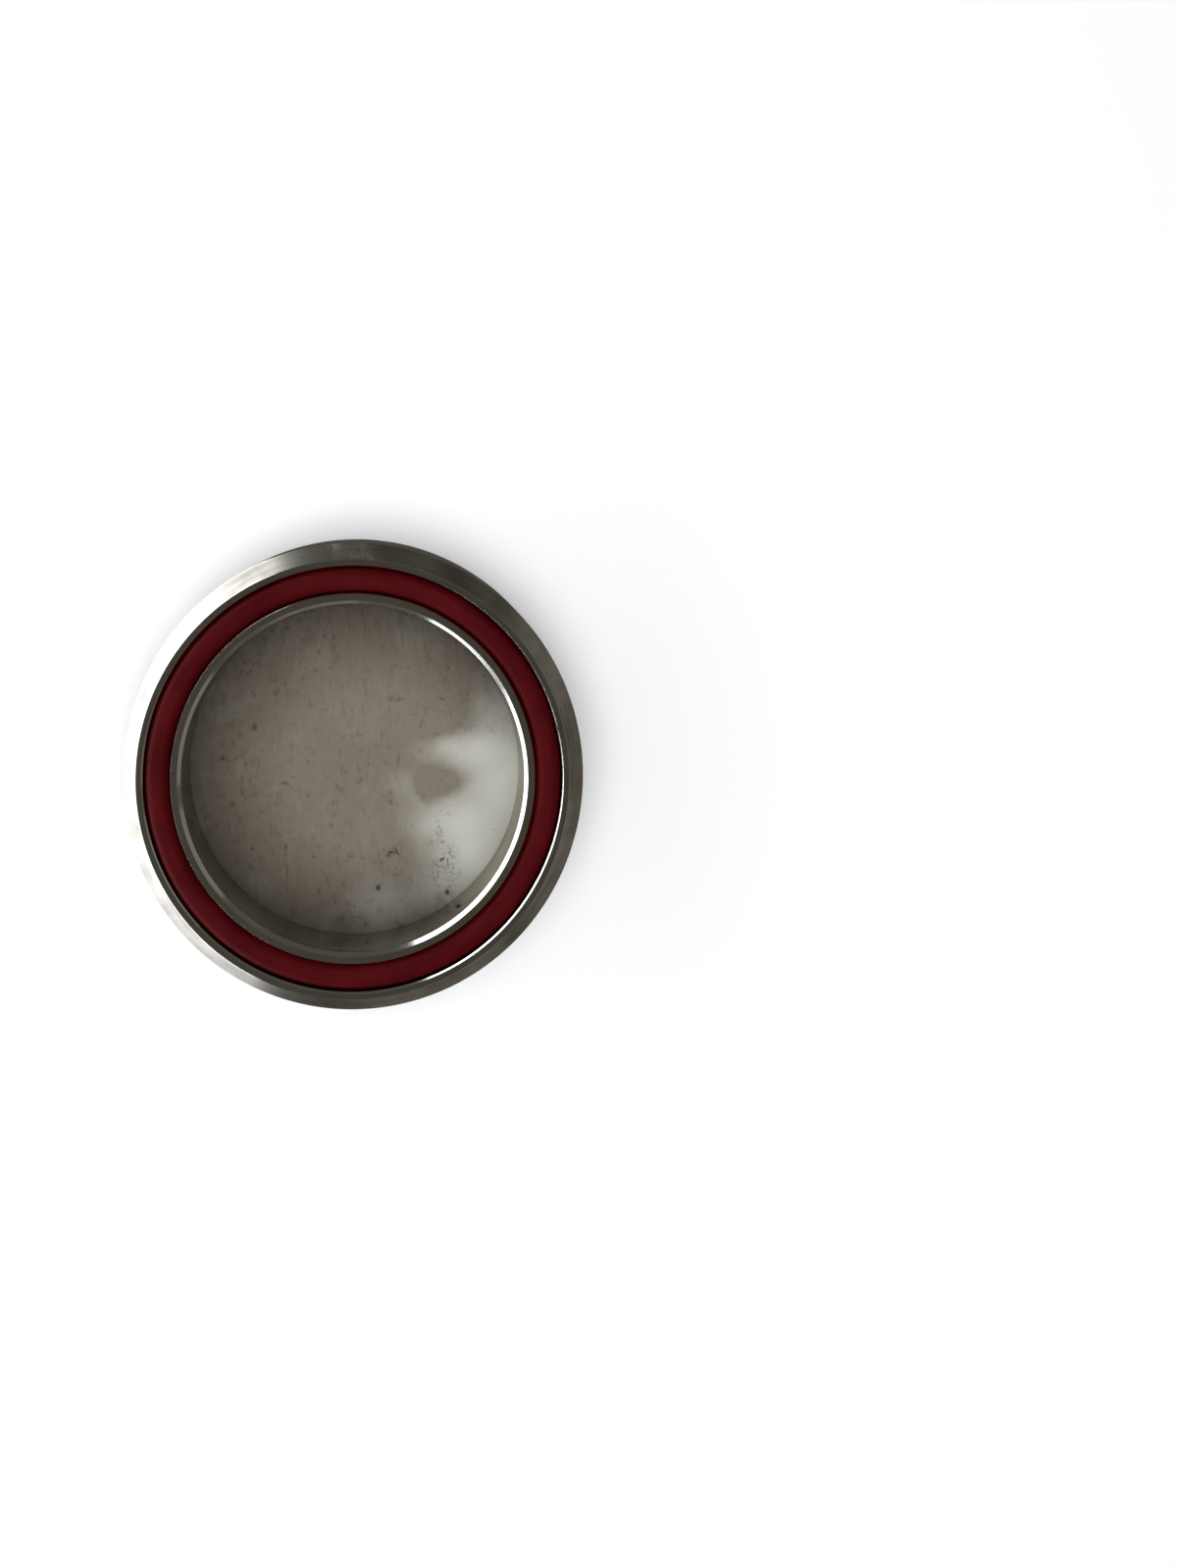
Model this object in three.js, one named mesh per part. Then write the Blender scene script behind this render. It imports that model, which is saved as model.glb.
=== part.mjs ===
// Metal-fused sight glass: a turned stainless ring with a flat glass window fused into its bore,
// and a rubber O-ring in a groove in each face. It lies flat: the shouldered face is up and the
// face with the conical mouth is down, resting on the crown of its O-ring.
// Millimetres, +Z up. The origin is on the axis, at the level that the part rests on.

import * as THREE from 'three';

// Steel ring
const RING_RADIUS = 50;
const RING_THICKNESS = 20;
const SHOULDER = 3.5; // 45 degree chamfer round the upper rim
const RIM_BREAK = 0.5; // broken edge round the lower rim
const GROOVE_BREAK = 0.3; // broken edges of both grooves

// Bore and mouths
const BORE_RADIUS = 36.9;
const BORE_BREAK = 0.75; // small 45 degree chamfer at the upper mouth
const CONE_DEPTH = 3.3; // the lower mouth is a 45 degree cone that ends at the bore

// O-rings: the crowns stand a little proud of the steel, so they seal when the ring is clamped
const SEAL_PROUD = 0.25;
const UPPER_GROOVE = { inner: 39.3, outer: 45 };
const LOWER_GROOVE = { inner: 42.6, outer: 47.3 };

// Glass
const GLASS_RECESS = 2; // below the upper face
const GLASS_THICKNESS = 14.2;
const GLASS_BREAK = 0.25;

const CLEARANCE = 0.3; // between neighbouring solids
const SIDES = 72; // steps round the axis, the same for every piece so that the gaps stay even
const SEAL_SIDES = 12; // steps round an O-ring's section

const lowerFace = SEAL_PROUD;
const upperFace = lowerFace + RING_THICKNESS;

const sealRadius = (groove) => (groove.outer - groove.inner) / 2 - CLEARANCE;
const grooveDepth = (groove) => 2 * sealRadius(groove) + CLEARANCE - SEAL_PROUD;

// One groove's outline from its inner to its outer edge. into is +1 where the groove goes up
// into the steel, and -1 where it goes down.
function grooveOutline(groove, face, into) {
  const lip = face + into * GROOVE_BREAK;
  const floor = face + into * grooveDepth(groove);
  return [
    [groove.inner - GROOVE_BREAK, face],
    [groove.inner, lip],
    [groove.inner, floor],
    [groove.outer, floor],
    [groove.outer, lip],
    [groove.outer + GROOVE_BREAK, face],
  ];
}

// A solid of revolution about +Z from [radius, height] points, taken with the solid on the left
function turned(outline) {
  const points = outline.map(([radius, height]) => new THREE.Vector2(radius, height));
  return new THREE.LatheGeometry(points, SIDES).rotateX(Math.PI / 2);
}

function ringGeometry() {
  const outline = [
    [BORE_RADIUS + CONE_DEPTH, lowerFace],
    ...grooveOutline(LOWER_GROOVE, lowerFace, 1),
    [RING_RADIUS - RIM_BREAK, lowerFace],
    [RING_RADIUS, lowerFace + RIM_BREAK],
    [RING_RADIUS, upperFace - SHOULDER],
    [RING_RADIUS - SHOULDER, upperFace],
    ...grooveOutline(UPPER_GROOVE, upperFace, -1).reverse(),
    [BORE_RADIUS + BORE_BREAK, upperFace],
    [BORE_RADIUS, upperFace - BORE_BREAK],
    [BORE_RADIUS, lowerFace + CONE_DEPTH],
  ];
  return turned([...outline, outline[0]]);
}

function glassGeometry() {
  const radius = BORE_RADIUS - CLEARANCE;
  const high = upperFace - GLASS_RECESS;
  const low = high - GLASS_THICKNESS;
  return turned([
    [0, low],
    [radius - GLASS_BREAK, low],
    [radius, low + GLASS_BREAK],
    [radius, high - GLASS_BREAK],
    [radius - GLASS_BREAK, high],
    [0, high],
  ]);
}

function sealGeometry(groove) {
  const middle = (groove.inner + groove.outer) / 2;
  return new THREE.TorusGeometry(middle, sealRadius(groove), SEAL_SIDES, SIDES);
}

function piece(name, geometry, finish) {
  const mesh = new THREE.Mesh(geometry, new THREE.MeshStandardMaterial({ name, ...finish }));
  mesh.name = name;
  return mesh;
}

const STEEL = { color: 0x8a8880, roughness: 0.35, metalness: 1 };
const GLASS = { color: 0xc9c6bd, roughness: 0.1, metalness: 0, transparent: true, opacity: 0.35 };
const RUBBER = { color: 0x6b1620, roughness: 0.5, metalness: 0 };

const bodyRing = piece('body_ring', ringGeometry(), STEEL);
const glassWindow = piece('glass_window', glassGeometry(), GLASS);

const upperSeal = piece('upper_seal', sealGeometry(UPPER_GROOVE), RUBBER);
upperSeal.position.z = upperFace + SEAL_PROUD - sealRadius(UPPER_GROOVE);

const lowerSeal = piece('lower_seal', sealGeometry(LOWER_GROOVE), RUBBER);
lowerSeal.position.z = sealRadius(LOWER_GROOVE);

const sightGlass = new THREE.Group();
sightGlass.name = 'sight_glass';
sightGlass.add(bodyRing, glassWindow, upperSeal, lowerSeal);

export default sightGlass;
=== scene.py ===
import math

import bmesh
import bpy
import numpy as np
from mathutils import Matrix, Vector


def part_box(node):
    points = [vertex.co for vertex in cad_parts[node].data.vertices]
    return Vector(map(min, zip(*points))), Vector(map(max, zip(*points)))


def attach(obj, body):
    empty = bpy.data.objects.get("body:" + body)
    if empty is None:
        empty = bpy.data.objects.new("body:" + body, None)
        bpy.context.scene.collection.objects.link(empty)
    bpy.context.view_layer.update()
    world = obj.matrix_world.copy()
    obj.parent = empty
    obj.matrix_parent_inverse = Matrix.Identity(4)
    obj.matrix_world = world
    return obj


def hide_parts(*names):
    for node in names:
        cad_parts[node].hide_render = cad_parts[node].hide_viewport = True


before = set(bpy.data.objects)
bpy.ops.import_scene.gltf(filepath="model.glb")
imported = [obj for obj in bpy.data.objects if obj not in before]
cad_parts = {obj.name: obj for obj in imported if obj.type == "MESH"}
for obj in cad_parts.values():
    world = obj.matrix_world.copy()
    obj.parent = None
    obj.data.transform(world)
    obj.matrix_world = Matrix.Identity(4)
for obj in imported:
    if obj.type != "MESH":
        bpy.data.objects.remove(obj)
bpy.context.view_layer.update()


# ---- Steel ring ---------------------------------------------------------------------------
# The ring is a disc of stainless bar, turned on a lathe. Each face has a groove for an O-ring;
# the upper rim has a big shoulder and the lower mouth is a cone. Its bore was oxidised dark
# grey in the furnace when the glass was melted in, and its faces were skimmed afterwards.

MM = 0.001
ring_low, ring_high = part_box("body_ring")
RADIUS = ring_high.x
LOWER_FACE = ring_low.z
UPPER_FACE = ring_high.z
BORE_RADIUS = 36.9 * MM
BORE_BREAK = 0.75 * MM
SHOULDER = 3.5 * MM
GROOVE_BREAK = 0.3 * MM
CONE_DEPTH = 3.3 * MM
UPPER_GROOVE = (39.3 * MM, 45.0 * MM, 5.15 * MM)
LOWER_GROOVE = (42.6 * MM, 47.3 * MM, 4.15 * MM)
RING_TURNS = 720
ARC_STEPS = 5


def rounded(corners):
    """A closed outline from (radius, height, fillet) corners.

    Each corner becomes an arc tangent to both of its edges: the arc's centre lies on the
    corner's bisector, fillet / sin(half angle) away, and its points turn evenly about it from
    one edge to the other. A point a little way along each edge keeps the flats flat.
    """
    hold = 0.04 * MM
    place = np.array([c[:2] for c in corners])
    fillet = np.array([c[2] for c in corners])[:, None]
    back = np.roll(place, 1, 0) - place
    ahead = np.roll(place, -1, 0) - place
    back /= np.linalg.norm(back, axis=1, keepdims=True)
    ahead /= np.linalg.norm(ahead, axis=1, keepdims=True)
    half = np.arccos((back * ahead).sum(1, keepdims=True)) / 2
    middle = (back + ahead) / np.linalg.norm(back + ahead, axis=1, keepdims=True)
    centre = place + middle * fillet / np.sin(half)
    start = place + back * fillet / np.tan(half)
    end = place + ahead * fillet / np.tan(half)
    sweep = (math.pi - 2 * half)[:, None]
    share = np.linspace(0, 1, ARC_STEPS)[None, :, None]
    arc = np.sin((1 - share) * sweep) * (start - centre)[:, None]
    arc += np.sin(share * sweep) * (end - centre)[:, None]
    arc = centre[:, None] + arc / np.sin(sweep)
    loop = np.concatenate([(start + back * hold)[:, None], arc, (end + ahead * hold)[:, None]], 1)
    return loop.reshape(-1, 2)


def turned(name, radius, height, closed=True):
    """A surface of revolution about Z.

    radius and height are grids of turns by outline points. Point (i, j) goes to
    (radius cos a, radius sin a, height) with a = 2 pi i / turns, and the grid wraps round in
    i, and in j too where the outline is closed. An open outline starts and ends on the axis.
    """
    turns, points = radius.shape
    angle = np.linspace(0, 2 * math.pi, turns, endpoint=False)[:, None]
    place = np.stack([radius * np.cos(angle), radius * np.sin(angle), height], -1)
    i = np.arange(turns)[:, None]
    j = np.arange(points if closed else points - 1)[None, :]
    following, beside = (i + 1) % turns, (j + 1) % points
    corners = [i * points + j, following * points + j, following * points + beside, i * points + beside]
    faces = np.stack([np.broadcast_to(c, (turns, j.size)) for c in corners], -1).reshape(-1, 4)
    mesh = bpy.data.meshes.new(name)
    mesh.from_pydata(place.reshape(-1, 3).tolist(), [], faces.tolist())
    mesh.shade_smooth()
    piece = bpy.data.objects.new(name, mesh)
    bpy.context.collection.objects.link(piece)
    return piece


def linear(code):
    """An sRGB hex colour as linear RGBA."""
    share = np.array([int(code[k:k + 2], 16) / 255 for k in (1, 3, 5)])
    share = np.where(share <= 0.04045, share / 12.92, ((share + 0.055) / 1.055) ** 2.4)
    return (*share.tolist(), 1.0)


def add(tree, kind, inputs=None, **settings):
    """Adds a node. settings are its properties; inputs maps a socket to a value or a link."""
    made = tree.nodes.new(kind)
    for key, value in settings.items():
        setattr(made, key, value)
    for key, value in (inputs or {}).items():
        if isinstance(value, bpy.types.NodeSocket):
            tree.links.new(value, made.inputs[key])
        else:
            made.inputs[key].default_value = value
    return made


def new_material(name):
    """An empty node material and its tree, with an output waiting for a surface."""
    material = bpy.data.materials.new(name)
    material.use_nodes = True
    material.node_tree.nodes.clear()
    return material, material.node_tree, add(material.node_tree, "ShaderNodeOutputMaterial")


def around_the_axis(tree):
    """Object coordinates, plain and as turning sees them: (place, direction, radius, height)."""
    place = add(tree, "ShaderNodeTexCoord").outputs["Object"]
    flat = add(tree, "ShaderNodeVectorMath", {0: place, 1: (1, 1, 0)}, operation="MULTIPLY")
    radius = add(tree, "ShaderNodeVectorMath", {0: flat.outputs[0]}, operation="LENGTH")
    direction = add(tree, "ShaderNodeVectorMath", {0: flat.outputs[0]}, operation="NORMALIZE")
    height = add(tree, "ShaderNodeSeparateXYZ", {0: place})
    return place, direction.outputs[0], radius.outputs["Value"], height.outputs["Z"]


def thin_lines(tree, place, width, look):
    """1 on the lines where a noise passes 0.5, falling to 0 where it is width away from 0.5."""
    noise = add(tree, "ShaderNodeTexNoise", {"Vector": place, **look}).outputs["Fac"]
    gap = add(tree, "ShaderNodeMath", {0: noise, 1: 0.5}, operation="SUBTRACT")
    gap = add(tree, "ShaderNodeMath", {0: gap.outputs[0]}, operation="ABSOLUTE")
    return add(
        tree, "ShaderNodeMapRange",
        {"Value": gap.outputs[0], "From Min": 0.0, "From Max": width, "To Min": 1.0, "To Max": 0.0},
    ).outputs[0]


def patches(tree, place, size, low, high):
    """Soft patches about size across: 0 to 1 as a noise goes from low to high."""
    noise = add(tree, "ShaderNodeTexNoise", {"Vector": place, "Scale": 1 / size, "Detail": 3.0})
    return add(
        tree, "ShaderNodeMapRange", {"Value": noise.outputs["Fac"], "From Min": low, "From Max": high},
    ).outputs[0]


def turned_rings(tree, direction, radius, height, feed, around):
    """The rings a lathe tool leaves, one every feed, as a noise with no seam round the axis.

    It is a 4-D noise of (direction x around, radius / feed, height / feed).
    """
    fine_radius = add(tree, "ShaderNodeMath", {0: radius, 1: 1 / feed}, operation="MULTIPLY")
    fine_height = add(tree, "ShaderNodeMath", {0: height, 1: 1 / feed}, operation="MULTIPLY")
    along = add(tree, "ShaderNodeCombineXYZ", {"Z": fine_radius.outputs[0]})
    place = add(
        tree, "ShaderNodeVectorMath",
        {0: direction, 1: (around, around, 0), 2: along.outputs[0]}, operation="MULTIPLY_ADD",
    )
    return add(
        tree, "ShaderNodeTexNoise",
        {"Vector": place.outputs[0], "W": fine_height.outputs[0], "Scale": 1.0, "Detail": 3.0},
        noise_dimensions="4D",
    ).outputs["Fac"]


def machined_steel(name, light, dark, roughness, feed, cut, scratches, glancing="#FFFFFF"):
    """Turned stainless: the tool's rings, cut deep, over a slow mottle, with handling scratches.

    The scratches run across the rings, about 0.3 mm apart, and keep to patches. glancing is
    what the metal keeps of a glancing reflection.
    """
    material, tree, output = new_material(name)
    place, direction, radius, height = around_the_axis(tree)
    rings = turned_rings(tree, direction, radius, height, feed, 4)
    mottle = add(
        tree, "ShaderNodeTexNoise", {"Vector": place, "Scale": 1 / (9 * MM), "Detail": 4.0},
    ).outputs["Fac"]
    inward = add(tree, "ShaderNodeMath", {0: radius, 1: height}, operation="SUBTRACT")
    inward = add(tree, "ShaderNodeMath", {0: inward.outputs[0], 1: 1 / (3 * MM)}, operation="MULTIPLY")
    inward = add(tree, "ShaderNodeCombineXYZ", {"Z": inward.outputs[0]})
    round_the_ring = RADIUS / (0.3 * MM)
    across = add(
        tree, "ShaderNodeVectorMath",
        {0: direction, 1: (round_the_ring, round_the_ring, 0), 2: inward.outputs[0]},
        operation="MULTIPLY_ADD",
    )
    scratch = thin_lines(
        tree, across.outputs[0], 0.05, {"Scale": 1.0, "Detail": 2.0, "Distortion": 0.4})
    scratched = add(
        tree, "ShaderNodeMath", {0: scratch, 1: patches(tree, place, 14 * MM, 0.5, 0.62)},
        operation="MULTIPLY",
    ).outputs[0]
    shade = add(tree, "ShaderNodeMath", {0: rings, 1: 0.5, 2: mottle}, operation="MULTIPLY_ADD")
    shade = add(
        tree, "ShaderNodeMapRange", {"Value": shade.outputs[0], "From Min": 0.5, "From Max": 1.0})
    colour = add(
        tree, "ShaderNodeMix",
        {"Factor": shade.outputs[0], "A": linear(dark), "B": linear(light)}, data_type="RGBA",
    )
    rough = add(
        tree, "ShaderNodeMath", {0: shade.outputs[0], 1: -0.3 * roughness, 2: 1.15 * roughness},
        operation="MULTIPLY_ADD",
    )
    rough = add(
        tree, "ShaderNodeMath", {0: scratched, 1: 0.2 * scratches, 2: rough.outputs[0]},
        operation="MULTIPLY_ADD",
    )
    relief = add(
        tree, "ShaderNodeMath", {0: scratched, 1: -0.7 * scratches, 2: rings},
        operation="MULTIPLY_ADD",
    )
    bump = add(
        tree, "ShaderNodeBump", {"Height": relief.outputs[0], "Distance": cut, "Strength": 1.0})
    surface = add(
        tree, "ShaderNodeBsdfPrincipled",
        {"Base Color": colour.outputs["Result"], "Metallic": 1.0, "Roughness": rough.outputs[0],
         "Specular Tint": linear(glancing), "Normal": bump.outputs[0]},
    )
    tree.links.new(surface.outputs[0], output.inputs["Surface"])
    return material


# Skimmed flat, with the feed marks just felt by a nail: dark in a dark room, never mirror-like.
faced_stainless = machined_steel(
    "faced_stainless", "#BFBBB1", "#A5A198", 0.26, 0.5 * MM, 0.004 * MM, 0.15)
# A coarser roughing cut, satin and evenly ringed, on the wall and the cone.
turned_stainless = machined_steel(
    "turned_stainless", "#C9C6BD", "#8F8B82", 0.30, 0.7 * MM, 0.010 * MM, 0.35)
# The same cut on the shoulder, where handling has scratched across it: it sparkles at a window.
scratched_stainless = machined_steel(
    "scratched_turned_stainless", "#C9C6BD", "#8F8B82", 0.30, 0.7 * MM, 0.010 * MM, 1.4)
# The small breaks and chamfers took one light finishing cut, so they flash like a mirror.
bright_stainless = machined_steel(
    "bright_stainless", "#DAD9D6", "#CBC9C4", 0.12, 0.4 * MM, 0.0008 * MM, 0.1)
# The bore was honed before the melt and wetted by the glass, so it is a dim, clean mirror that
# repeats the glass beside it; a thin furnace oxide takes a third of its brightness.
oxidised_bore = machined_steel(
    "oxidised_honed_bore", "#D6D3CC", "#C6C3BB", 0.07, 0.9 * MM, 0.0004 * MM, 0.1, "#DAD7D0")


def grooved(groove, face, into):
    """A groove's corners from its inner to its outer edge; into is 1 up and -1 down.

    Both edges have a flat 45 degree break, and the roots are round.
    """
    inner, outer, depth = groove
    lip = face + into * GROOVE_BREAK
    floor = face + into * depth
    crisp, root = 0.03 * MM, 0.5 * MM
    return [
        (inner - GROOVE_BREAK, face, crisp), (inner, lip, crisp), (inner, floor, root),
        (outer, floor, root), (outer, lip, crisp), (outer + GROOVE_BREAK, face, crisp),
    ]


ring_corners = [
    (BORE_RADIUS + CONE_DEPTH, LOWER_FACE, 0.12 * MM),
    *grooved(LOWER_GROOVE, LOWER_FACE, 1),
    (RADIUS, LOWER_FACE, 0.5 * MM),
    (RADIUS, UPPER_FACE - SHOULDER, 0.25 * MM),
    (RADIUS - SHOULDER, UPPER_FACE, 0.15 * MM),
    *grooved(UPPER_GROOVE, UPPER_FACE, -1)[::-1],
    (BORE_RADIUS + BORE_BREAK, UPPER_FACE, 0.06 * MM),
    (BORE_RADIUS, UPPER_FACE - BORE_BREAK, 0.10 * MM),
    (BORE_RADIUS, LOWER_FACE + CONE_DEPTH, 0.1 * MM),
]
# the finish of each corner and of the stretch that follows it
FACED, TURNED, BRIGHT, OXIDE, SCRATCHED = range(5)
GROOVE_FINISH = [
    (BRIGHT, BRIGHT), (BRIGHT, FACED), (FACED, FACED), (FACED, FACED), (BRIGHT, BRIGHT), (BRIGHT, FACED),
]
ring_finish = [
    (BRIGHT, FACED), *GROOVE_FINISH, (FACED, TURNED), (BRIGHT, SCRATCHED), (BRIGHT, FACED),
    *GROOVE_FINISH, (BRIGHT, BRIGHT), (BRIGHT, OXIDE), (BRIGHT, TURNED),
]
ring_outline = rounded(ring_corners)
ring_radius = np.tile(ring_outline[:, 0], (RING_TURNS, 1))
ring_height = np.tile(ring_outline[:, 1], (RING_TURNS, 1))

# Knocks along the edges of the upper groove. Each is a small bell-shaped dent: the edge goes
# down by its depth, times exp(-(distance along / width)^2), times exp(-(distance across / reach)^2).
KNOCKS = 6  # on each edge
KNOCK_REACH = 0.25 * MM
knock_draw = np.random.default_rng(7)
ring_angle = np.linspace(0, 2 * math.pi, RING_TURNS, endpoint=False)[:, None]
for edge in UPPER_GROOVE[:2]:
    for _ in range(KNOCKS):
        at = knock_draw.uniform(0, 2 * math.pi)
        depth = knock_draw.uniform(0.03, 0.10) * MM
        width = knock_draw.uniform(0.3, 0.9) * MM
        along = ((ring_angle - at + math.pi) % (2 * math.pi) - math.pi) * edge / width
        across = np.hypot(ring_radius - edge, ring_height - UPPER_FACE) / KNOCK_REACH
        ring_height -= depth * np.exp(-along ** 2 - across ** 2)

steel_ring = turned("steel_ring", ring_radius, ring_height)
for finish in (faced_stainless, turned_stainless, bright_stainless, oxidised_bore, scratched_stainless):
    steel_ring.data.materials.append(finish)
slot_of_corner = [[corner] * (ARC_STEPS + 1) + [stretch] for corner, stretch in ring_finish]
slot_of_face = np.tile(np.ravel(slot_of_corner), RING_TURNS)
steel_ring.data.polygons.foreach_set("material_index", slot_of_face.astype(np.int32))
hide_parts("body_ring")
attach(steel_ring, "root")


# ---- Glass window -------------------------------------------------------------------------
# A disc of borosilicate glass, melted into the ring so that it wets the bore and climbs it a
# little way all round, then left as it cooled. In use it has picked up a grey-brown film,
# wiping scratches along one direction and specks.

glass_low, glass_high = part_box("glass_window")
GLASS_TURNS = 360
GLASS_STEPS = 60  # from the axis to the wall, crowded towards the wall by the power below
CROWDING = 2.5
SINK = 0.03 * MM  # how far the glass reaches into the oxide, so that no gap shows between them
CLIMB = 0.18 * MM
CREEP = 0.5 * MM


def meniscus(gap):
    """How high the melt climbs at that distance from the wall: CLIMB exp(-gap / CREEP)."""
    return CLIMB * np.exp(-gap / CREEP)


wall = BORE_RADIUS + SINK
glass_step = wall * (1 - np.linspace(1, 0, GLASS_STEPS) ** CROWDING)
glass_upper = glass_high.z + meniscus(wall - glass_step)
glass_lower = np.full_like(glass_step, glass_low.z)
glass_radius = np.concatenate([glass_step, glass_step[::-1]])
glass_height = np.concatenate([glass_lower, glass_upper[::-1]])
glass = turned(
    "glass_disc",
    np.tile(glass_radius, (GLASS_TURNS, 1)),
    np.tile(glass_height, (GLASS_TURNS, 1)),
    closed=False,
)
shape = bmesh.new()
shape.from_mesh(glass.data)
bmesh.ops.remove_doubles(shape, verts=shape.verts, dist=0.001 * MM)
shape.to_mesh(glass.data)
shape.free()


def soft_spot(tree, place, at, reach):
    """1 at a point of the disc, falling smoothly to 0 at an ellipse of those half sizes."""
    flat = add(
        tree, "ShaderNodeVectorMath", {0: place, 1: (at[0] * MM, at[1] * MM, 0)}, operation="SUBTRACT",
    )
    flat = add(
        tree, "ShaderNodeVectorMath",
        {0: flat.outputs[0], 1: (1 / (reach[0] * MM), 1 / (reach[1] * MM), 0)}, operation="MULTIPLY",
    )
    away = add(tree, "ShaderNodeVectorMath", {0: flat.outputs[0]}, operation="LENGTH")
    return add(
        tree, "ShaderNodeMapRange",
        {"Value": away.outputs["Value"], "From Min": 1.0, "From Max": 0.0},
        interpolation_type="SMOOTHSTEP",
    ).outputs[0]


GLASS_TINT = "#DAD8D0"
LAMP_TINT = "#E6E4DE"


def clear_glass(tree, place):
    """Fire-polished borosilicate: faintly warm, and rippled a few hundredths of a millimetre."""
    swell = add(tree, "ShaderNodeTexNoise", {"Vector": place, "Scale": 1 / (18 * MM)})
    ripple = add(
        tree, "ShaderNodeBump",
        {"Height": swell.outputs["Fac"], "Distance": 0.05 * MM, "Strength": 1.0},
    )
    return add(
        tree, "ShaderNodeBsdfPrincipled",
        {"Base Color": linear(GLASS_TINT), "Roughness": 0.03, "IOR": 1.47,
         "Transmission Weight": 1.0, "Normal": ripple.outputs[0]},
    ).outputs[0]


def lamp_lit(tree, output, body):
    """Shows body, and lets the light of lamps straight through to what lies behind the glass."""
    lamp_way = add(tree, "ShaderNodeBsdfTransparent", {"Color": linear(LAMP_TINT)})
    path = add(tree, "ShaderNodeLightPath")
    surface = add(
        tree, "ShaderNodeMixShader", {0: path.outputs["Is Shadow Ray"], 1: body, 2: lamp_way.outputs[0]},
    )
    tree.links.new(surface.outputs[0], output.inputs["Surface"])


# The wiped upper face and the edge: clear, with a smooth skin left by the melt.
wiped_glass, tree, output = new_material("clear_borosilicate_glass")
place = add(tree, "ShaderNodeTexCoord").outputs["Object"]
lamp_lit(tree, output, clear_glass(tree, place))

# The lower face carries a used film, with hairlines where it was wiped, and painted light and shade in it:
# a painted pool of window light towards +X and painted shade towards the wall. The film is matt, so it
# shows its own warm grey; the clean parts show what is behind.
used_glass, tree, output = new_material("filmed_borosilicate_glass")
place = add(tree, "ShaderNodeTexCoord").outputs["Object"]
drift = add(
    tree, "ShaderNodeTexNoise", {"Vector": place, "Scale": 1 / (12 * MM), "Detail": 4.0},
).outputs["Color"]
drift = add(tree, "ShaderNodeVectorMath", {0: drift, 1: (0.5, 0.5, 0.5)}, operation="SUBTRACT")
drifted = add(
    tree, "ShaderNodeVectorMath", {0: drift.outputs[0], 1: (9 * MM,) * 3, 2: place},
    operation="MULTIPLY_ADD",
).outputs[0]

# A painted pool of light, as window light thrown off the bore would fall on the film, lies in a wing
# towards +X, with two painted dark gaps in it where the windows part, and thins out along -Y. Each entry
# is a middle and half sizes in mm, and how strong it is.
painted_light_pool = 0.0
for at, reach, strength in (
    ((37, -5), (23, 31), 1.05), ((23, 4), (13, 6), 0.40), ((19, -12), (11, 8), 0.45),
    ((25, -22), (15, 16), 0.75), ((13, -5), (8, 5), 0.20), ((20, -4), (8, 5.5), -0.62),
    ((20, 13), (9, 10), -0.40), ((9, -31), (13, 9), 0.20),
):
    painted_light_pool = add(
        tree, "ShaderNodeMath",
        {0: soft_spot(tree, drifted, at, reach), 1: strength, 2: painted_light_pool}, operation="MULTIPLY_ADD",
    ).outputs[0]
mottle = patches(tree, place, 9 * MM, 0.30, 0.70)
painted_light_pool = add(
    tree, "ShaderNodeMath", {0: mottle, 1: 0.08, 2: painted_light_pool}, operation="MULTIPLY_ADD")
painted_light_pool = add(
    tree, "ShaderNodeMath", {0: painted_light_pool.outputs[0], 1: 0.04}, operation="SUBTRACT", use_clamp=True,
).outputs[0]

# Painted shade: the film darkens towards the wall, as the ring's wall would shade it: none at the middle,
# all of it at the edge.
inside = soft_spot(tree, place, (4, -1), (43, 41))
painted_rim_shade = add(
    tree, "ShaderNodeMapRange", {"Value": inside, "From Min": 0.62, "From Max": 0.0},
).outputs[0]

# Wiping leaves faint streaks along Y, 1.2 mm apart, and fibres stick to the film. The fibres
# are finer than this in life; they are drawn about 0.15 mm wide to show, off the painted pool of light
# only.
wiped = add(tree, "ShaderNodeMapping", {"Vector": place, "Scale": (1 / (1.2 * MM), 1 / (11 * MM), 1)})
streaks = add(
    tree, "ShaderNodeTexNoise",
    {"Vector": wiped.outputs[0], "Scale": 1.0, "Detail": 3.0, "Distortion": 0.8},
).outputs["Fac"]
combed = add(tree, "ShaderNodeMapping", {"Vector": place, "Scale": (1, 0.5, 1)}).outputs[0]
fibre = thin_lines(
    tree, combed, 0.030, {"Scale": 1 / (2.2 * MM), "Detail": 2.0, "Distortion": 1.0})
fibre = add(
    tree, "ShaderNodeMath", {0: fibre, 1: patches(tree, place, 1.5 * MM, 0.48, 0.60)},
    operation="MULTIPLY",
).outputs[0]
off_light_pool = add(tree, "ShaderNodeMath", {0: 1.0, 1: painted_light_pool}, operation="SUBTRACT", use_clamp=True)
fibre = add(
    tree, "ShaderNodeMath", {0: fibre, 1: off_light_pool.outputs[0]}, operation="MULTIPLY",
).outputs[0]
hair = thin_lines(
    tree, place, 0.040, {"Scale": 1 / (3.2 * MM), "Detail": 5.0, "Roughness": 0.7, "Distortion": 1.0})
hair_place = add(
    tree, "ShaderNodeMath",
    {0: soft_spot(tree, place, (20, -20), (5, 16)), 1: soft_spot(tree, place, (8, -20), (4, 9))},
    operation="MAXIMUM",
)
hair_place = add(
    tree, "ShaderNodeMath", {0: hair_place.outputs[0], 1: patches(tree, place, 2.5 * MM, 0.46, 0.54)},
    operation="MULTIPLY",
)
hair = add(tree, "ShaderNodeMath", {0: hair, 1: hair_place.outputs[0]}, operation="MULTIPLY").outputs[0]
dots = add(
    tree, "ShaderNodeTexVoronoi", {"Vector": place, "Scale": 1 / (2.6 * MM), "Randomness": 1.0},
)
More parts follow.
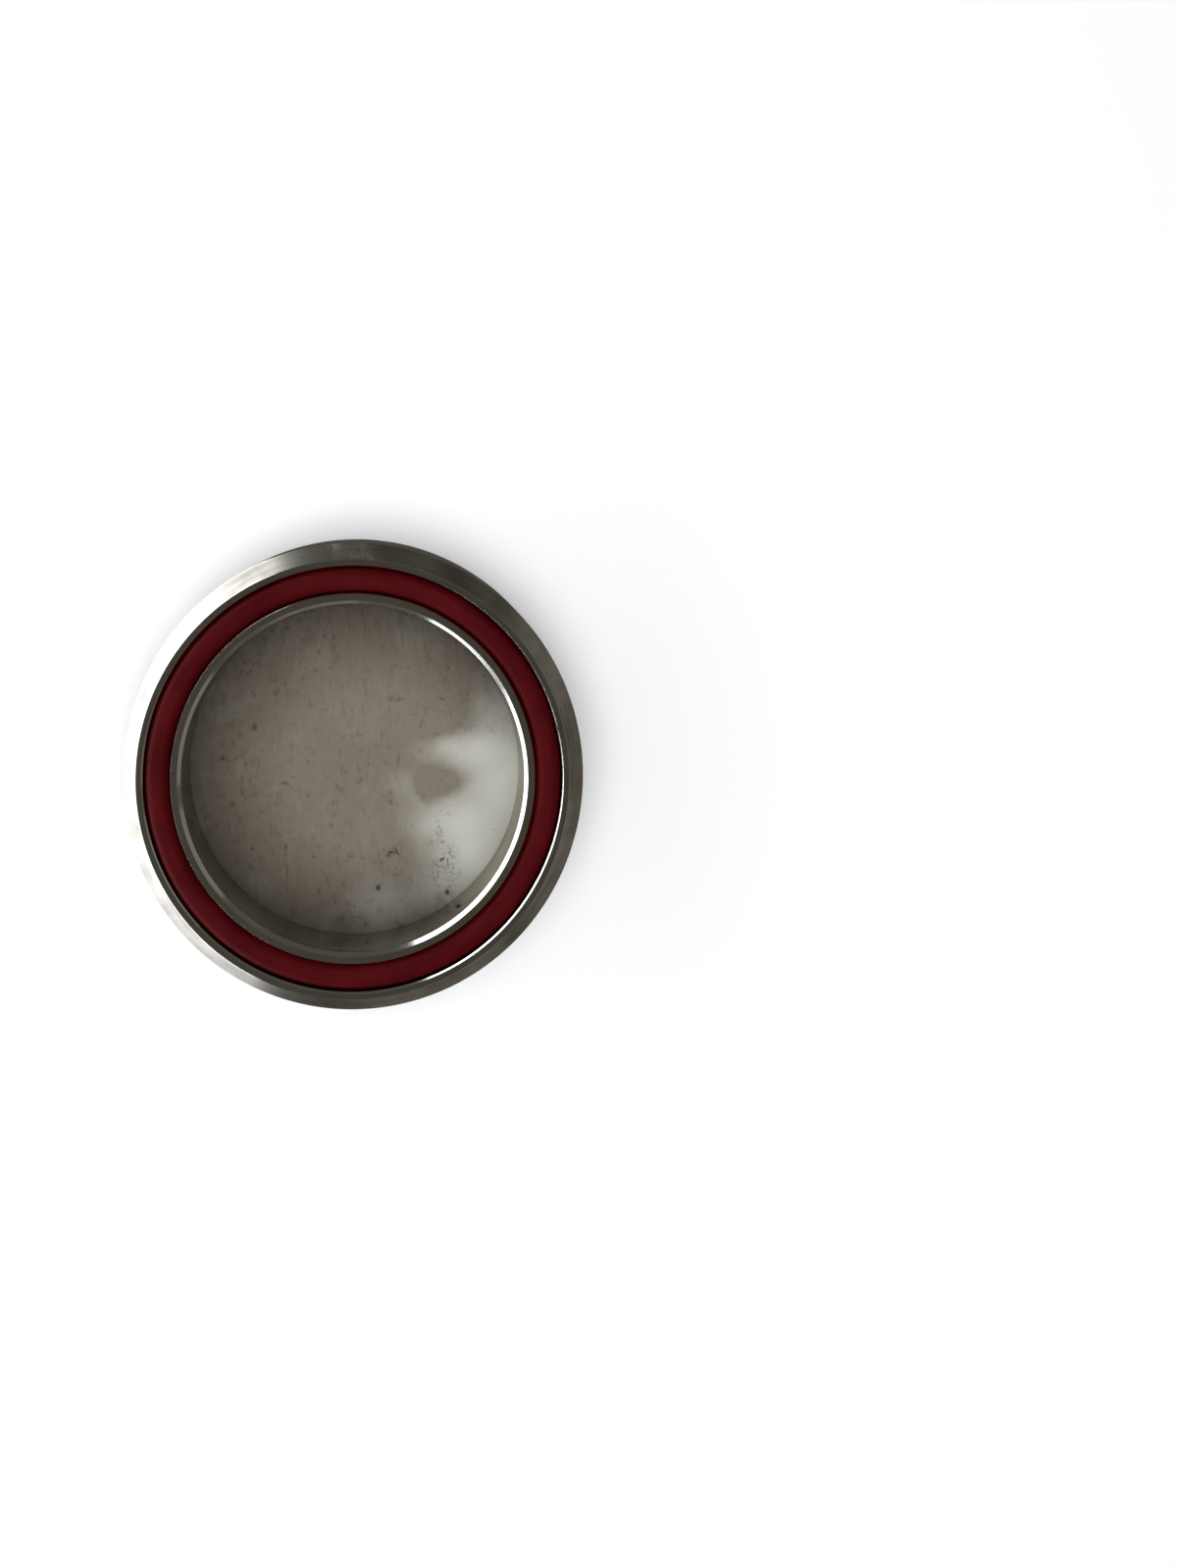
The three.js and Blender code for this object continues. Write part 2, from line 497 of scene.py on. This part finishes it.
dot = add(
    tree, "ShaderNodeMapRange",
    {"Value": dots.outputs["Distance"], "From Min": 0.04, "From Max": 0.12, "To Min": 1.0, "To Max": 0.0},
)
rare = add(tree, "ShaderNodeSeparateColor", {0: dots.outputs["Color"]})
rare = add(tree, "ShaderNodeMath", {0: rare.outputs[0], 1: 0.86}, operation="GREATER_THAN")
speck = add(tree, "ShaderNodeMath", {0: dot.outputs[0], 1: rare.outputs[0]}, operation="MULTIPLY")
# Two dark specks, by the hairlines.
for at in ((5.3, -27), (20.7, -28)):
    hair = add(
        tree, "ShaderNodeMath", {0: soft_spot(tree, place, at, (0.9, 1.2)), 1: hair}, operation="MAXIMUM",
    ).outputs[0]
marks = add(tree, "ShaderNodeMath", {0: fibre, 1: 0.55, 2: hair}, operation="MULTIPLY_ADD", use_clamp=True)
marks = add(
    tree, "ShaderNodeMath", {0: speck.outputs[0], 1: 0.5, 2: marks.outputs[0]},
    operation="MULTIPLY_ADD", use_clamp=True,
).outputs[0]

film_shade = add(
    tree, "ShaderNodeMix",
    {"Factor": streaks, "A": linear("#61584E"), "B": linear("#6F665B")}, data_type="RGBA",
)
# over the film's own grey: painted shade at the wall, a painted pool of light, then the real marks
for factor, code in ((painted_rim_shade, "#463F38"), (painted_light_pool, "#D2D4D1"), (marks, "#241C18")):
    film_shade = add(
        tree, "ShaderNodeMix",
        {"Factor": factor, "A": film_shade.outputs["Result"], "B": linear(code)}, data_type="RGBA",
    )
cover = add(tree, "ShaderNodeMath", {0: streaks, 1: 0.15, 2: 0.72}, operation="MULTIPLY_ADD")
# the painted shade and the painted pool of light also show more of the film
for factor, strength in ((painted_rim_shade, 0.15), (painted_light_pool, 0.2), (marks, 0.3)):
    cover = add(
        tree, "ShaderNodeMath", {0: factor, 1: strength, 2: cover.outputs[0]},
        operation="MULTIPLY_ADD", use_clamp=True,
    )
film = add(
    tree, "ShaderNodeBsdfPrincipled",
    {"Base Color": film_shade.outputs["Result"], "Roughness": 0.6, "IOR": 1.3},
)
body = add(
    tree, "ShaderNodeMixShader",
    {0: cover.outputs[0], 1: clear_glass(tree, place), 2: film.outputs[0]},
)
lamp_lit(tree, output, body.outputs[0])

glass.data.materials.append(wiped_glass)
glass.data.materials.append(used_glass)
is_lower = np.zeros(len(glass.data.polygons), np.int32)
face_height = np.empty(len(glass.data.polygons) * 3)
glass.data.polygons.foreach_get("center", face_height)
is_lower[face_height.reshape(-1, 3)[:, 2] < glass_low.z + 0.01 * MM] = 1
glass.data.polygons.foreach_set("material_index", is_lower)
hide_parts("glass_window")
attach(glass, "root")


# ---- O-rings ------------------------------------------------------------------------------
# Moulded silicone rubber cord, dark red all through, pushed into each groove so that it fills
# it from wall to wall and stands a hair proud. The mould leaves it satin, with faint flow
# streaks round it.

SEAL_TURNS = 360
SEAL_POINTS = 64
SEAL_FIT = 0.05 * MM


def seal(name, node, groove, face):
    """An O-ring: a squashed circle carried round the axis.

    Section point t is (half width cos t, half height sin t), squared off a little by
    raising the cosine to a power below 1, and the whole ring wanders by a few hundredths of a
    millimetre as it lies: out by 0.02 cos 2a + 0.015 sin 5a mm.
    """
    low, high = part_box(node)
    inner, outer, depth = groove
    crown = high.z if face == UPPER_FACE else low.z
    floor = face + math.copysign(depth - SEAL_FIT, face - crown)
    half_width = (outer - inner) / 2 - SEAL_FIT
    half_height = abs(crown - floor) / 2
    angle = np.linspace(0, 2 * math.pi, SEAL_TURNS, endpoint=False)[:, None]
    t = np.linspace(0, 2 * math.pi, SEAL_POINTS, endpoint=False)[None, :]
    bulge = np.sign(np.cos(t)) * np.abs(np.cos(t)) ** 0.7
    wander = 0.02 * MM * np.cos(2 * angle) + 0.015 * MM * np.sin(5 * angle)
    radius = (inner + outer) / 2 + half_width * bulge + wander
    height = (crown + floor) / 2 + half_height * np.sin(t) + 0 * angle
    return turned(name, radius, height)


# Satin silicone: deep red that barely shines, paler along the streaks and in slow blotches.
silicone, tree, output = new_material("moulded_silicone_rubber")
place, direction, radius, height = around_the_axis(tree)
flow = turned_rings(tree, direction, radius, height, 0.8 * MM, 5)
blotch = add(
    tree, "ShaderNodeTexNoise", {"Vector": place, "Scale": 1 / (12 * MM), "Detail": 3.0},
).outputs["Fac"]
grain = add(
    tree, "ShaderNodeTexNoise", {"Vector": place, "Scale": 1 / (0.35 * MM), "Detail": 2.0},
).outputs["Fac"]
tone = add(tree, "ShaderNodeMath", {0: flow, 1: 0.6, 2: blotch}, operation="MULTIPLY_ADD")
tone = add(tree, "ShaderNodeMapRange", {"Value": tone.outputs[0], "From Min": 0.6, "From Max": 1.0})
shade = add(
    tree, "ShaderNodeMix",
    {"Factor": tone.outputs[0], "A": linear("#3B0206"), "B": linear("#49060B")}, data_type="RGBA",
)
rough = add(tree, "ShaderNodeMath", {0: flow, 1: 0.2, 2: 0.42}, operation="MULTIPLY_ADD")
relief = add(tree, "ShaderNodeMath", {0: grain, 1: 0.5, 2: flow}, operation="MULTIPLY_ADD")
bump = add(tree, "ShaderNodeBump", {"Height": relief.outputs[0], "Distance": 0.02 * MM, "Strength": 0.6})
surface = add(
    tree, "ShaderNodeBsdfPrincipled",
    {"Base Color": shade.outputs["Result"], "Roughness": rough.outputs[0], "IOR": 1.42,
     "Specular IOR Level": 0.15, "Normal": bump.outputs[0]},
)
tree.links.new(surface.outputs[0], output.inputs["Surface"])

for name, node, groove, face in (
    ("upper_o_ring", "upper_seal", UPPER_GROOVE, UPPER_FACE),
    ("lower_o_ring", "lower_seal", LOWER_GROOVE, LOWER_FACE),
):
    o_ring = seal(name, node, groove, face)
    o_ring.data.materials.append(silicone)
    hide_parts(node)
    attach(o_ring, "root")


# ---- Floor --------------------------------------------------------------------------------
# A plain pale sheet of painted board under the part. It is hidden from reflections, as the
# bench that the metal mirrors in use is dark.

FLOOR_REACH = 40 * RADIUS
floor_mesh = bpy.data.meshes.new("floor")
floor_corners = [(x * FLOOR_REACH, y * FLOOR_REACH, 0) for x, y in ((-1, -1), (1, -1), (1, 1), (-1, 1))]
floor_mesh.from_pydata(floor_corners, [], [(0, 1, 2, 3)])
floor = bpy.data.objects.new("floor", floor_mesh)
bpy.context.collection.objects.link(floor)
painted_board, tree, output = new_material("painted_board")
surface = add(tree, "ShaderNodeBsdfPrincipled", {"Base Color": linear("#F9F9F8"), "Roughness": 0.9})
tree.links.new(surface.outputs[0], output.inputs["Surface"])
floor_mesh.materials.append(painted_board)
floor.visible_glossy = False


# ---- Light --------------------------------------------------------------------------------
# A row of tall soft panels to the left, low down, as windows are, and a broad soft light
# overhead that lights matt surfaces and is kept out of the metal's reflections.

def panel(name, place, aim, width, height, brightness, colour="#FFFFFF", glossy=True):
    """A soft rectangular light facing aim. brightness is its radiance: power / (pi x area)."""
    light = bpy.data.lights.new(name, "AREA")
    light.shape = "RECTANGLE"
    light.size, light.size_y = width, height
    light.energy = brightness * math.pi * width * height
    light.color = linear(colour)[:3]
    lamp = bpy.data.objects.new(name, light)
    lamp.location = place
    lamp.rotation_euler = (Vector(aim) - Vector(place)).to_track_quat("-Z", "Y").to_euler()
    lamp.visible_glossy = glossy
    bpy.context.collection.objects.link(lamp)


ROOM_REACH = 0.75
PANEL_MIDDLE = Vector((0, 0, 0.05))
PANEL_HEIGHT = 0.60


def upright_row(name, turns, width, brightness, colour):
    """Upright panels round the part, ROOM_REACH away at those turns in degrees, facing its axis."""
    for k, turn in enumerate(turns):
        spot = ROOM_REACH * Vector((math.cos(math.radians(turn)), math.sin(math.radians(turn)), 0))
        panel(f"{name}_{k}", spot + PANEL_MIDDLE, PANEL_MIDDLE, width, PANEL_HEIGHT, brightness, colour)


upright_row("window", (131, 157, 183, 209, 235), 0.34, 3.5, "#F6F9FF")
# the far side of the room, which the right shoulder mirrors
upright_row("far_wall", (-75, -30, 15), 0.50, 0.13, "#FFF6EE")
panel("overhead", (0, 0, 1.2), (0, 0, 0), 1.6, 1.6, 2.5, "#FBFCFF", glossy=False)

# The room is dim to the metal, and as pale as the board where it is looked at directly.
world = bpy.data.worlds.new("room")
world.use_nodes = True
world.node_tree.nodes.clear()
room = add(world.node_tree, "ShaderNodeBackground", {"Color": linear("#5C5A53"), "Strength": 0.9})
backdrop = add(world.node_tree, "ShaderNodeBackground", {"Color": linear("#F9F9F8"), "Strength": 1.0})
seen = add(world.node_tree, "ShaderNodeLightPath").outputs["Is Camera Ray"]
both = add(world.node_tree, "ShaderNodeMixShader", {0: seen, 1: room.outputs[0], 2: backdrop.outputs[0]})
add(world.node_tree, "ShaderNodeOutputWorld", {"Surface": both.outputs[0]})
bpy.context.scene.world = world
bpy.context.scene.view_settings.view_transform = "Standard"


# ---- Camera -------------------------------------------------------------------------------
# A hand-held wide view from five radii above the upper face. It looks nearly straight down,
# past the far side of the part, and the lens is shifted so that the part stands left of centre.

eye = Vector((0.203 * RADIUS, 1.239 * RADIUS, UPPER_FACE + 5.123 * RADIUS))
aim = Vector((0.250 * RADIUS, 1.528 * RADIUS, UPPER_FACE))
forward = (aim - eye).normalized()
right = forward.cross(Vector((0, 1, 0))).normalized()
camera_data = bpy.data.cameras.new("camera")
camera_data.lens = 27
camera_data.sensor_width = 36
camera_data.shift_x = 0.1132
camera_data.shift_y = -0.2311
camera_data.clip_start = 0.01
camera = bpy.data.objects.new("camera", camera_data)
stance = Matrix((right, right.cross(forward), -forward)).transposed().to_4x4()
camera.matrix_world = Matrix.Translation(eye) @ stance
bpy.context.collection.objects.link(camera)
bpy.context.scene.camera = camera
